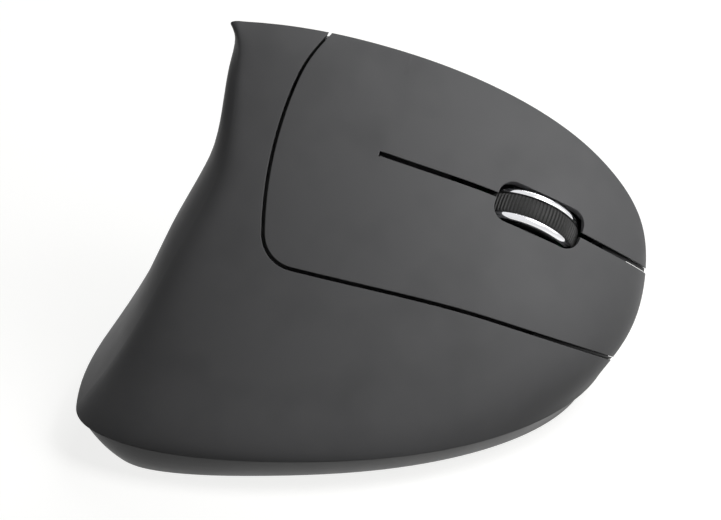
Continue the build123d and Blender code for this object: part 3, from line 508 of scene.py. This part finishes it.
@dataclass
class Shells:
    """Upper shells, keys and base, with the flexing skins and the dark strips of painted shade in the gaps.

    The paths of the skins and of the painted shade strips lie on the key plane, in millimetres forward and
    up its slope.
    """

    coat: SoftTouch = SoftTouch("soft_touch_coat")
    skin: SoftTouch = SoftTouch("soft_touch_skin", edge_mm=0.0)
    tray: MouldedPlastic = MouldedPlastic("base_plastic", Hue.BASE, 0.25, 0.5, 0.25)
    side: MouldedPlastic = MouldedPlastic("side_button_gloss", Hue.SIDE_BLACK, 0.5, 0.2, 0.35)
    # finish of the dark strips: painted shade inside the gaps
    gap_shade: MouldedPlastic = MouldedPlastic("painted_gap_shade", Hue.GAP_PAINTED_SHADE, 0.15, 0.7)
    strip_steps: int = 90
    strip_half: float = 0.55                 # half the skin's width, in millimetres
    strip_middle: float = 0.16               # its middle lies beside the break, where rays meet the plate
    strip_lift: float = 0.012 * MM
    strip_thick: float = 0.05 * MM
    shade_strip_step: float = 0.3                  # millimetres between two rings of a painted shade strip
    shade_strip_reach: float = 0.85                # rays feel for the shell this far beside the gap
    shade_strip_depth: tuple[float, float] = (1.5 * MM, 0.6 * MM)
    shade_strip_rise: float = 1.4                  # a painted shade strip reaches its shallow depth before its end
    shade_strip_thick: float = 0.5 * MM
    shade_strip_fin: float = 2.0 * MM

    def dress(self) -> None:
        """Gives the shells, keys, side buttons and base their finishes."""
        coat = self.coat.make()
        for node in ("palm_shell", "thumb_shell", "key_bridge", "left_button", "right_button"):
            dress(node, coat)
        tray = self.tray.make()
        for node in ("base_tray", "battery_door"):
            dress(node, tray)
        side = self.side.make()
        for node in ("back_button", "forward_button"):
            dress(node, side)

    def flexure(
        self, name: str, key: str, start: tuple[float, float], end: tuple[float, float]
    ) -> bpy.types.Object:
        """Lays the thin skin over the line where a key flexes, so that the plate reads as one piece.

        Args:
            name: The piece's name.
            key: The key's CAD node.
            start: One end of the line on the key plane, in millimetres.
            end: The other end.

        Returns:
            The skin.
        """
        tree = surface_of((key, "key_bridge"))
        build = bmesh.new()
        bmesh.ops.create_grid(build, x_segments=self.strip_steps, y_segments=3, size=1.0)
        line = Vector(end) - Vector(start)
        across = Vector((-line.y, line.x)).normalized()
        inward = (key_point(0, 0, 0) - key_point(0, 0, 1)).normalized()
        lost = []
        for vert in build.verts:
            share, side = (vert.co.x + 1) / 2, round(vert.co.y)
            spot = Vector(start) + line * share + across * (side * self.strip_half or self.strip_middle)
            hit = tree.ray_cast(key_point(spot.x, spot.y, RAY_START), inward)[0]
            if hit is None:
                lost.append(vert)
            else:
                vert.co = hit - inward * self.strip_lift
        bmesh.ops.delete(build, geom=lost, context="VERTS")
        bmesh.ops.solidify(build, geom=build.faces[:], thickness=self.strip_thick)
        return to_piece(name, build, self.skin.make(), "housing")

    def rings(self, key: str, path: Sequence[tuple[float, float]], width: float) -> list[list[Vector]]:
        """Finds both edges of a painted shade strip along its gap, on the surface of the mouse.

        Args:
            key: The key's CAD node beside the gap.
            path: Middle of the gap, from the face to beyond the edge.
            width: Width of the strip in millimetres.

        Returns:
            Pairs of points, the last pair a fin beyond the mouse's edge.
        """
        tree = surface_of(("palm_shell", key, "right_button"))
        origin = key_point(0, 0, 0)
        out = (key_point(0, 0, 1) - origin).normalized()
        rings = []
        for first, last in zip(path, path[1:]):
            run = Vector(last) - Vector(first)
            across = Vector((-run.y, run.x)).normalized()
            steps = int(run.length / self.shade_strip_step)
            for k in range(steps):
                spot = Vector(first) + run * (k / steps)
                ring = []
                for side in (1, -1):
                    probe = spot + across * side * self.shade_strip_reach
                    hit = tree.ray_cast(key_point(probe.x, probe.y, RAY_START), -out)[0]
                    if hit is not None:
                        edge = key_point(across.x * side, across.y * side, 0) - origin
                        ring.append(hit - edge * (self.shade_strip_reach - width / 2))
                if len(ring) == 2:
                    rings.append(ring)
        rings.append([place - out * self.shade_strip_fin for place in rings[-1]])
        return rings

    def shade_strip(
        self, name: str, key: str, path: Sequence[tuple[float, float]], width: float
    ) -> bpy.types.Object:
        """Fills the end of a gap that runs over the edge of the mouse with a dark strip, set a little deep:
        painted shade where the gap is in shadow.

        Args:
            name: The piece's name.
            key: The key's CAD node beside the gap.
            path: Middle of the gap, from the face to beyond the edge.
            width: Width of the strip in millimetres.

        Returns:
            The strip.
        """
        rings = self.rings(key, path, width)
        out = (key_point(0, 0, 1) - key_point(0, 0, 0)).normalized()
        build = bmesh.new()
        last = None
        deep, shallow = self.shade_strip_depth
        for k, ring in enumerate(rings):
            depth = deep + (shallow - deep) * min(1.0, self.shade_strip_rise * k / len(rings))
            top = [build.verts.new(place - out * depth) for place in ring]
            low = [build.verts.new(place - out * (depth + self.shade_strip_thick)) for place in reversed(ring)]
            loop = top + low
            if last:
                for a, b, c, d in zip(last, last[1:] + last[:1], loop[1:] + loop[:1], loop):
                    build.faces.new((a, b, c, d))
            else:
                build.faces.new(loop)
            last = loop
        build.faces.new(last)
        return to_piece(name, build, self.gap_shade.make(), "housing")

    def build(self) -> None:
        """Dresses the shells, lays the two flexing skins and fills the gaps' ends with painted shade."""
        self.dress()
        self.flexure("left_flexing_skin", "left_button", (3.9, 20.6), (12.75, 47.1))
        self.flexure("right_flexing_skin", "right_button", (3.6, 19.4), (-5.6, -8.2))
        # dark strips of painted shade fill the ends of the slot and of the seams
        self.shade_strip("slot_end_shade_strip", "left_button", ((50.6, 0.7), (59.0, -3.7), (64.0, -6.3)), 0.76)
        rear_seam = ((-14.4, 33.5), (-10.7, 40.6), (-6.9, 45.3), (-2.0, 53.0))
        self.shade_strip("rear_seam_shade_strip", "left_button", rear_seam, 0.56)
        self.shade_strip("low_seam_shade_strip", "right_button", ((35.3, -17.2), (49.8, -21.9), (64.0, -26.6)), 0.56)


@dataclass
class ScrollWheel:
    """Ribbed rubber tyre between two polished rings."""

    tyre_radius: float = 11.0 * MM
    inner_radius: float = 9.3 * MM
    half_width: float = 2.2 * MM
    ring_gap: float = 0.1 * MM
    ring_width: float = 1.3 * MM
    ring_radius: float = 10.85 * MM
    ribs: int = 84
    groove: float = 0.3 * MM
    rib_depth: float = 0.5 * MM
    rib_margin: float = 0.1 * MM
    ring_steps: int = 180
    weld: float = 1e-7

    def placement(self) -> Matrix:
        """Reads the axle from the record.

        Returns:
            The transform from a wheel lying on local Z to its place.
        """
        joint = next(j for j in frame["joints"] if j["name"] == "wheel_spin")
        axis = Vector(joint["axis"]).normalized()
        return Matrix.Translation(Vector(joint["pos_m"])) @ axis.to_track_quat("Z", "Y").to_matrix().to_4x4()

    def turned(self, profile: Sequence[tuple[float, float]], steps: int) -> bmesh.types.BMesh:
        """Spins a closed profile about the axle.

        Args:
            profile: Points of (radius, place along the axle), in metres.
            steps: Number of steps in the turn.

        Returns:
            The turned solid, still on local Z.
        """
        build = bmesh.new()
        verts = [build.verts.new((radius, 0.0, along)) for radius, along in profile]
        edges = [build.edges.new((a, b)) for a, b in zip(verts, verts[1:] + verts[:1])]
        bmesh.ops.spin(build, geom=verts + edges, cent=(0, 0, 0), axis=(0, 0, 1), dvec=(0, 0, 0),
                       angle=2 * math.pi, steps=steps, use_merge=True, use_duplicate=False)
        bmesh.ops.remove_doubles(build, verts=build.verts, dist=self.weld)
        return build

    def tyre(self) -> bpy.types.Object:
        """Builds the tyre with its fine cross ribs.

        Returns:
            The tyre.
        """
        radius, half, inner = self.tyre_radius, self.half_width, self.inner_radius
        crown = [(inner, -half), (radius - 0.75 * MM, -half), (radius - 0.3 * MM, -half + 0.18 * MM)]
        crown += [(radius - 0.06 * MM, -half + 0.6 * MM), (radius, 0.0)]
        profile = crown + [(r, -along) for r, along in reversed(crown[:-1])]
        steps = self.ribs * 4
        build = self.turned(profile, steps)
        for vert in build.verts:
            reach = math.hypot(vert.co.x, vert.co.y)
            if reach > radius - self.rib_depth and abs(vert.co.z) < half - self.rib_margin:
                step = round(math.atan2(vert.co.y, vert.co.x) / (2 * math.pi) * steps) % 4
                if step in (2, 3):
                    vert.co.xy *= (reach - self.groove) / reach
        bmesh.ops.transform(build, matrix=self.placement(), verts=build.verts)
        rubber = RibbedRubber("tyre_rubber").make()
        piece = to_piece("ribbed_tyre", build, rubber, "wheel", 35.0)
        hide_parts("wheel_tyre")
        return piece

    def ring(self, name: str, node: str, side: int) -> bpy.types.Object:
        """Builds one polished ring with a softly domed outer face.

        Args:
            name: The piece's name.
            node: The CAD ring that it stands for.
            side: 1 for the ring nearer the ridge, -1 for the other.

        Returns:
            The ring.
        """
        near = self.half_width + self.ring_gap
        far = near + self.ring_width
        outer, inner = self.ring_radius, self.inner_radius
        profile = [(inner, near), (outer - 0.12 * MM, near), (outer - 0.02 * MM, near + 0.06 * MM)]
        profile += [(outer, near + 0.2 * MM), (outer - 0.03 * MM, near + 0.55 * MM)]
        profile += [(outer - 0.14 * MM, near + 0.85 * MM), (outer - 0.32 * MM, far - 0.22 * MM)]
        profile += [(outer - 0.5 * MM, far - 0.06 * MM), (outer - 0.62 * MM, far), (inner, far)]
        build = self.turned([(r, side * along) for r, along in profile], self.ring_steps)
        bmesh.ops.transform(build, matrix=self.placement(), verts=build.verts)
        metal = BrightMetal("polished_ring_" + name).make()
        piece = to_piece(name, build, metal, "wheel", 60.0)
        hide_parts(node)
        return piece

    def build(self) -> None:
        """Builds the wheel's visible pieces and dresses the rest."""
        self.tyre()
        self.ring("bright_ring_upper", "upper_ring", 1)
        self.ring("bright_ring_lower", "lower_ring", -1)
        black = MouldedPlastic("wheel_black", Hue.INNER_BLACK, 0.2, 0.4).make()
        for node in ("wheel_hub", "wheel_cradle"):
            dress(node, black)


@dataclass
class Underside:
    """Glide feet, power slider, screws, receiver and the door's grip."""

    grip_bars: int = 5
    bar: tuple[float, float, float] = (11.0 * MM, 0.7 * MM, 0.3 * MM)
    bar_edge: float = 0.1 * MM
    grip_start: float = 9.0 * MM             # from the door's rear end to the first bar
    grip_pitch: float = 1.6 * MM

    def grip(self) -> bpy.types.Object:
        """Builds the low bars that a fingertip catches to open the door.

        Returns:
            The bars, on the door.
        """
        low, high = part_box("battery_door")
        build = bmesh.new()
        for row in range(self.grip_bars):
            made = bmesh.ops.create_cube(build, size=1.0)["verts"]
            along = low.y + self.grip_start + self.grip_pitch * row
            spot = Vector(((low.x + high.x) / 2, along, low.z))
            bmesh.ops.scale(build, vec=self.bar, verts=made)
            bmesh.ops.translate(build, vec=spot, verts=made)
        bmesh.ops.bevel(build, geom=build.edges, offset=self.bar_edge, segments=2,
                        profile=0.5, affect="EDGES", material=-1)
        plastic = MouldedPlastic("door_grip", Hue.BASE, 0.25, 0.5).make()
        return to_piece("door_grip_bars", build, plastic, "door")

    def build(self) -> None:
        """Dresses the pieces seen from below."""
        glide = MouldedPlastic("glide_pad", Hue.GLIDE, 0.15, 0.3, 0.25).make()
        for node in ("rear_foot", "front_foot", "left_foot", "right_foot"):
            dress(node, glide)
        dress("power_slider", MouldedPlastic("slider_grey", Hue.SLIDER, 0.2, 0.4).make())
        dress("receiver_cap", MouldedPlastic("receiver_black", Hue.INNER_BLACK, 0.2, 0.35).make())
        dress("receiver_plug", BrightMetal("plug_steel", Hue.STEEL, 0.22, 0.4, 0.1).make())
        steel = BrightMetal("screw_steel", Hue.SCREW, 0.3, 0.3, 0.1).make()
        for node in ("case_screws", "board_screws"):
            dress(node, steel)
        self.grip()


@dataclass
class Inside:
    """Boards, switches, sensor and cells behind the shells."""

    band: float = 13.0 * MM

    def build(self) -> None:
        """Dresses every inner piece."""
        board = SolderMask("solder_mask").make()
        for node in ("main_board", "key_board", "thumb_board"):
            dress(node, board)
        black = MouldedPlastic("component_black", Hue.INNER_BLACK, 0.15, 0.38).make()
        for node in ("left_switch", "right_switch", "middle_switch", "back_switch", "forward_switch",
                     "wheel_encoder", "power_switch", "optical_sensor", "controller_chip"):
            dress(node, black)
        dress("sensor_lens", ClearPlastic("clear_lens").make())
        dress("sensor_led", ClearPlastic("red_lamp", Hue.LED_RED).make())
        dress("ribbon_cable", MouldedPlastic("ribbon_pale", Hue.RIBBON, 0.5, 0.5).make())
        contact = BrightMetal("contact_steel", Hue.STEEL, 0.25, 0.4).make()
        for node in ("battery_springs", "rear_contact", "front_contacts"):
            dress(node, contact)
        for node, towards in (("battery_1", 1.0), ("battery_2", -1.0)):
            low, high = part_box(node)
            tip = high.y if towards > 0 else low.y
            dress(node, CellWrap("wrap_" + node, tip - towards * self.band, towards).make())


@dataclass
class Studio:
    """Camera, pale floor and soft lamps."""

    aim: Vector = Vector((0.0, 0.0, 35.0 * MM))
    tilt: float = 30.0
    distance: float = 600.0 * MM
    focal_px: float = 2856.0
    frame_px: tuple[int, int] = (721, 520)
    aim_px: tuple[float, float] = (361.5, 250.0)
    sensor_mm: float = 36.0
    floor_half: float = 6.0
    floor_drop: float = 0.05 * MM
    floor_glow: float = 0.93
    fill: tuple[float, float, float, float] = (0.96, 0.98, 1.0, 1.0)
    fill_strength: float = 0.03
    white: tuple[float, float, float, float] = (1.0, 1.0, 1.0, 1.0)

    def camera(self) -> None:
        """Sets the camera at the photograph's viewpoint."""
        data = bpy.data.cameras.new("photo_camera")
        data.sensor_width = self.sensor_mm
        data.lens = self.focal_px / self.frame_px[0] * data.sensor_width
        data.shift_x = (self.frame_px[0] / 2 - self.aim_px[0]) / self.frame_px[0]
        data.shift_y = (self.aim_px[1] - self.frame_px[1] / 2) / self.frame_px[0]
        data.clip_start, data.clip_end = 0.01, 20.0
        camera = bpy.data.objects.new("photo_camera", data)
        angle = math.radians(self.tilt)
        back = Vector((math.cos(angle), 0.0, math.sin(angle)))
        camera.location = self.aim + back * self.distance
        camera.rotation_euler = (-back).to_track_quat("-Z", "Y").to_euler()
        bpy.context.scene.collection.objects.link(camera)
        bpy.context.scene.camera = camera

    def lamp(
        self, name: str, towards: tuple[float, float, float], distance: float, size: float, watts: float
    ) -> None:
        """Hangs one soft square lamp that faces the mouse.

        Args:
            name: The lamp's name.
            towards: Direction from the mouse to the lamp.
            distance: Metres from the mouse.
            size: Width of the lamp in metres.
            watts: Power.
        """
        data = bpy.data.lights.new(name, "AREA")
        data.size, data.energy = size, watts
        lamp = bpy.data.objects.new(name, data)
        way = Vector(towards).normalized()
        lamp.location = self.aim + way * distance
        lamp.rotation_euler = (-way).to_track_quat("-Z", "Y").to_euler()
        bpy.context.scene.collection.objects.link(lamp)

    def seen(self, tree: bpy.types.NodeTree) -> bpy.types.NodeSocket:
        """Tells rays that show the background from those that light the mouse.

        Args:
            tree: The nodes of the material or world being built.

        Returns:
            A value of 1 for camera, glossy and transmission rays.
        """
        path = tree.nodes.new("ShaderNodeLightPath")
        value = path.outputs["Is Camera Ray"]
        for ray in ("Is Glossy Ray", "Is Transmission Ray"):
            either = tree.nodes.new("ShaderNodeMath")
            either.operation = "MAXIMUM"
            tree.links.new(value, either.inputs[0])
            tree.links.new(path.outputs[ray], either.inputs[1])
            value = either.outputs[0]
        return value

    def floor(self) -> None:
        """Lays the pale floor: bright to the eye, but it throws little light back on the mouse."""
        build = bmesh.new()
        bmesh.ops.create_grid(build, x_segments=4, y_segments=4, size=self.floor_half)
        mesh = bpy.data.meshes.new("pale_floor")
        build.to_mesh(mesh)
        build.free()
        sheet = NodeSheet("floor_paint")
        sheet.feed(sheet.shader, "Base Color", Hue.FLOOR_BOUNCE.linear())
        sheet.feed(sheet.shader, "Roughness", 0.8)
        shown = sheet.add("ShaderNodeBsdfDiffuse", Color=Hue.FLOOR_SHADE.linear())
        glow = sheet.add("ShaderNodeEmission", Color=Hue.FLOOR.linear(), Strength=self.floor_glow)
        lit = sheet.add("ShaderNodeAddShader")
        sheet.tree.links.new(shown.outputs[0], lit.inputs[0])
        sheet.tree.links.new(glow.outputs[0], lit.inputs[1])
        mix = sheet.add("ShaderNodeMixShader")
        sheet.tree.links.new(self.seen(sheet.tree), mix.inputs[0])
        sheet.tree.links.new(sheet.shader.outputs[0], mix.inputs[1])
        sheet.tree.links.new(lit.outputs[0], mix.inputs[2])
        # seen from below the floor lets the view through, so that the underside shows
        below = sheet.add("ShaderNodeMixShader")
        sheet.tree.links.new(sheet.add("ShaderNodeNewGeometry").outputs["Backfacing"], below.inputs[0])
        sheet.tree.links.new(mix.outputs[0], below.inputs[1])
        sheet.tree.links.new(sheet.add("ShaderNodeBsdfTransparent").outputs[0], below.inputs[2])
        sheet.tree.links.new(below.outputs[0], sheet.output.inputs["Surface"])
        mesh.materials.append(sheet.material)
        floor = bpy.data.objects.new("pale_floor", mesh)
        floor.location.z = -self.floor_drop
        bpy.context.scene.collection.objects.link(floor)

    def world(self) -> None:
        """Fills the room with soft light and shows it white."""
        world = bpy.data.worlds.new("studio_world")
        world.use_nodes = True
        tree = world.node_tree
        tree.nodes.clear()
        output = tree.nodes.new("ShaderNodeOutputWorld")
        mix = tree.nodes.new("ShaderNodeMixShader")
        fill = tree.nodes.new("ShaderNodeBackground")
        fill.inputs["Color"].default_value = self.fill
        fill.inputs["Strength"].default_value = self.fill_strength
        shown = tree.nodes.new("ShaderNodeBackground")
        shown.inputs["Color"].default_value = self.white
        shown.inputs["Strength"].default_value = 1.0
        tree.links.new(self.seen(tree), mix.inputs[0])
        tree.links.new(fill.outputs[0], mix.inputs[1])
        tree.links.new(shown.outputs[0], mix.inputs[2])
        tree.links.new(mix.outputs[0], output.inputs["Surface"])
        bpy.context.scene.world = world

    def build(self) -> None:
        """Sets the whole studio."""
        self.camera()
        self.floor()
        self.world()
        self.lamp("near_softbox", (0.34, 0.56, 0.76), 0.20, 0.12, 0.31)
        self.lamp("front_softbox", (0.2, 0.95, 0.45), 0.9, 0.5, 0.9)
        self.lamp("thumb_side_softbox", (-1.0, 0.35, 0.5), 0.8, 0.5, 4.0)
        bpy.context.scene.view_settings.view_transform = "Standard"


def main() -> None:
    logging.basicConfig(level=logging.INFO, format="%(message)s")
    for part in (Studio(), Shells(), ScrollWheel(), Underside(), Inside()):
        part.build()
        LOG.info("built %s", type(part).__name__)


if __name__ == "__main__":
    main()
